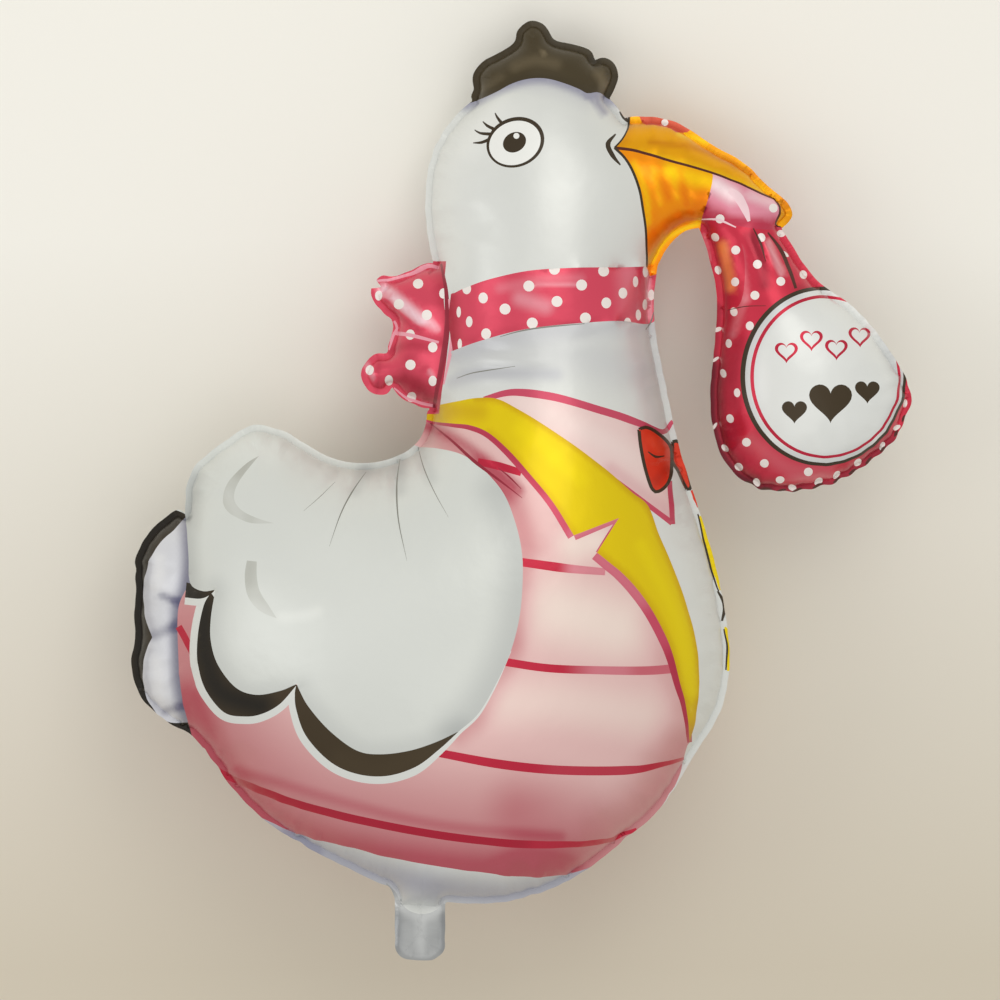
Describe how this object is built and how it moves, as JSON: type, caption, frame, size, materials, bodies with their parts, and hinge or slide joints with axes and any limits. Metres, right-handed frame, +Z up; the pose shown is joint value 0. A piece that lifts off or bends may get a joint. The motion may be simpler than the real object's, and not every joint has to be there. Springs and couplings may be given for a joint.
{
  "type": "foil balloon",
  "caption": "Inflated foil balloon in the outline of a stork in a beret, with a cloth bundle hanging from its beak, lying on its side.",
  "frame": {"origin": "centre of the bounding box's footprint, on the floor that the balloon lies on", "axes": "+Z up from the floor, out of the printed side that faces up; +Y from the fill tail towards the beret; +X towards the bundle under the beak"},
  "size_m": [0.6648, 0.7876, 0.2721],
  "materials": {
    "printed_film": "satin printed metallised film"
  },
  "bodies": {
    "root": {"stork_balloon": "printed_film"}
  },
  "joints": []
}
